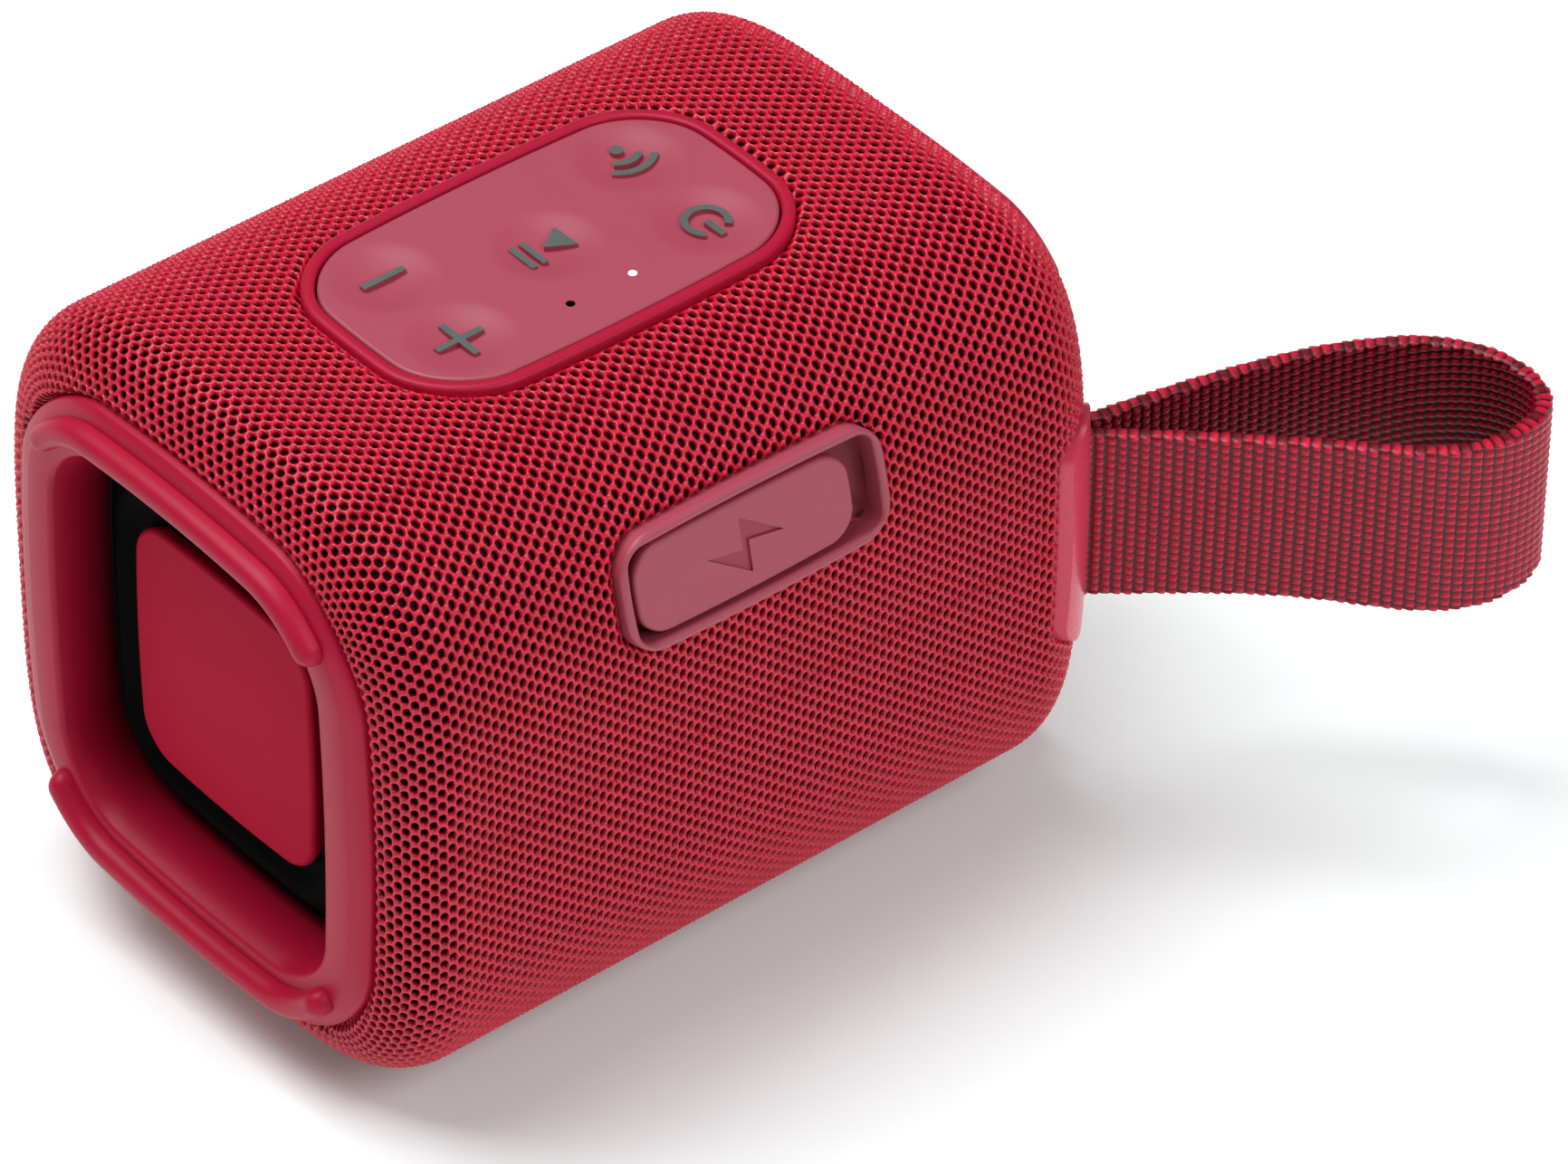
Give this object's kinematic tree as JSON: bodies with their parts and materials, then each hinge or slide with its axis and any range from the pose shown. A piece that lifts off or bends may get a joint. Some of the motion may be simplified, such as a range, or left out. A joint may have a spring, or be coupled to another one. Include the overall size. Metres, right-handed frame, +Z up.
{
  "type": "party speaker",
  "caption": "Cloth-covered portable speaker with control keys, charging flap, end radiators and wrist strap.",
  "frame": {"origin": "on the standing surface under the centre of the body, in the foot's bottom face", "axes": "+Z up out of the control panel, +X towards the wrist strap, +Y the driver side"},
  "size_m": [0.1504, 0.1048, 0.0816],
  "materials": {
    "fabric": "open knitted mesh, red",
    "red_plastic": "fine satin",
    "red_silicone": "soft matte",
    "radiator_skin": "satin",
    "black_rubber": "satin black",
    "cabinet_plastic": "matt black",
    "webbing": "ribbed red webbing",
    "steel": "plain",
    "driver_metal": "black",
    "cone_paper": "black pulp",
    "copper": "enamelled copper wire",
    "board_green": "solder mask",
    "chip_black": "moulded",
    "light_white": "lit light guide",
    "cell_wrap": "shrink sleeve"
  },
  "bodies": {
    "housing": {"fabric_sleeve": "fabric", "cabinet_front": "cabinet_plastic", "cabinet_rear": "cabinet_plastic", "cabinet_screws": "steel", "foot_pad": "black_rubber", "end_ring_left": "red_plastic", "end_ring_right": "red_plastic", "ring_screws_left": "steel", "ring_screws_right": "steel", "bumper_top_left": "red_plastic", "bumper_top_right": "red_plastic", "bumper_bottom_left": "red_plastic", "bumper_bottom_right": "red_plastic", "radiator_frame_left": "cabinet_plastic", "radiator_frame_right": "cabinet_plastic", "radiator_surround_left": "black_rubber", "radiator_surround_right": "black_rubber", "control_frame": "red_plastic", "keypad": "red_silicone", "key_board": "board_green", "key_switches": "chip_black", "status_light": "light_white", "microphone": "chip_black", "charging_bezel": "red_plastic", "usb_c_socket": "steel", "port_board": "board_green", "strap_anchor": "red_plastic", "strap_pin": "steel", "strap_tail": "webbing", "driver_gasket": "black_rubber", "driver_basket": "driver_metal", "driver_magnet": "driver_metal", "driver_surround": "black_rubber", "driver_screws": "steel", "battery_cell": "cell_wrap", "battery_cradle": "cabinet_plastic", "main_board": "board_green", "board_screws": "steel", "board_chips": "chip_black"},
    "radiator_left": {"radiator_plate_left": "radiator_skin", "radiator_weight_left": "steel"},
    "radiator_right": {"radiator_plate_right": "radiator_skin", "radiator_weight_right": "steel"},
    "cone": {"driver_cone": "cone_paper", "voice_coil": "copper", "dust_cap": "cone_paper"},
    "flap": {"charging_flap": "red_silicone"},
    "strap": {"strap_loop": "webbing"},
    "button_volume_down": {"button_volume_down": "red_silicone"},
    "button_volume_up": {"button_volume_up": "red_silicone"},
    "button_play": {"button_play": "red_silicone"},
    "button_wireless": {"button_wireless": "red_silicone"},
    "button_power": {"button_power": "red_silicone"}
  },
  "joints": [
    {"name": "radiator_left_travel", "type": "slide", "parent": "housing", "child": "radiator_left", "axis": [-1, 0, 0], "range_m": [-0.0025, 0.0025], "stiffness_N_per_m": 2000, "deforming": ["radiator_surround_left"]},
    {"name": "radiator_right_travel", "type": "slide", "parent": "housing", "child": "radiator_right", "axis": [1, 0, 0], "range_m": [-0.0025, 0.0025], "stiffness_N_per_m": 2000, "deforming": ["radiator_surround_right"]},
    {"name": "cone_travel", "type": "slide", "parent": "housing", "child": "cone", "axis": [0, 1, 0], "range_m": [-0.002, 0.002], "stiffness_N_per_m": 2000, "deforming": ["driver_surround"]},
    {"name": "flap_hinge", "type": "hinge", "parent": "housing", "child": "flap", "pos_m": [-0.0166, -0.03623, 0.06423], "axis": [0, -0.2419, -0.9703], "range_deg": [0, 100]},
    {"name": "strap_swing", "type": "hinge", "parent": "housing", "child": "strap", "pos_m": [0.04937, -0.03388, 0.0412], "axis": [0, 0, 1], "range_deg": [-25, 25], "stiffness_Nm_per_rad": 0.02},
    {"name": "button_volume_down_press", "type": "slide", "parent": "housing", "child": "button_volume_down", "axis": [0, 0, -1], "range_m": [0, 0.0006], "stiffness_N_per_m": 2500},
    {"name": "button_volume_up_press", "type": "slide", "parent": "housing", "child": "button_volume_up", "axis": [0, 0, -1], "range_m": [0, 0.0006], "stiffness_N_per_m": 2500},
    {"name": "button_play_press", "type": "slide", "parent": "housing", "child": "button_play", "axis": [0, 0, -1], "range_m": [0, 0.0006], "stiffness_N_per_m": 2500},
    {"name": "button_wireless_press", "type": "slide", "parent": "housing", "child": "button_wireless", "axis": [0, 0, -1], "range_m": [0, 0.0006], "stiffness_N_per_m": 2500},
    {"name": "button_power_press", "type": "slide", "parent": "housing", "child": "button_power", "axis": [0, 0, -1], "range_m": [0, 0.0006], "stiffness_N_per_m": 2500}
  ]
}
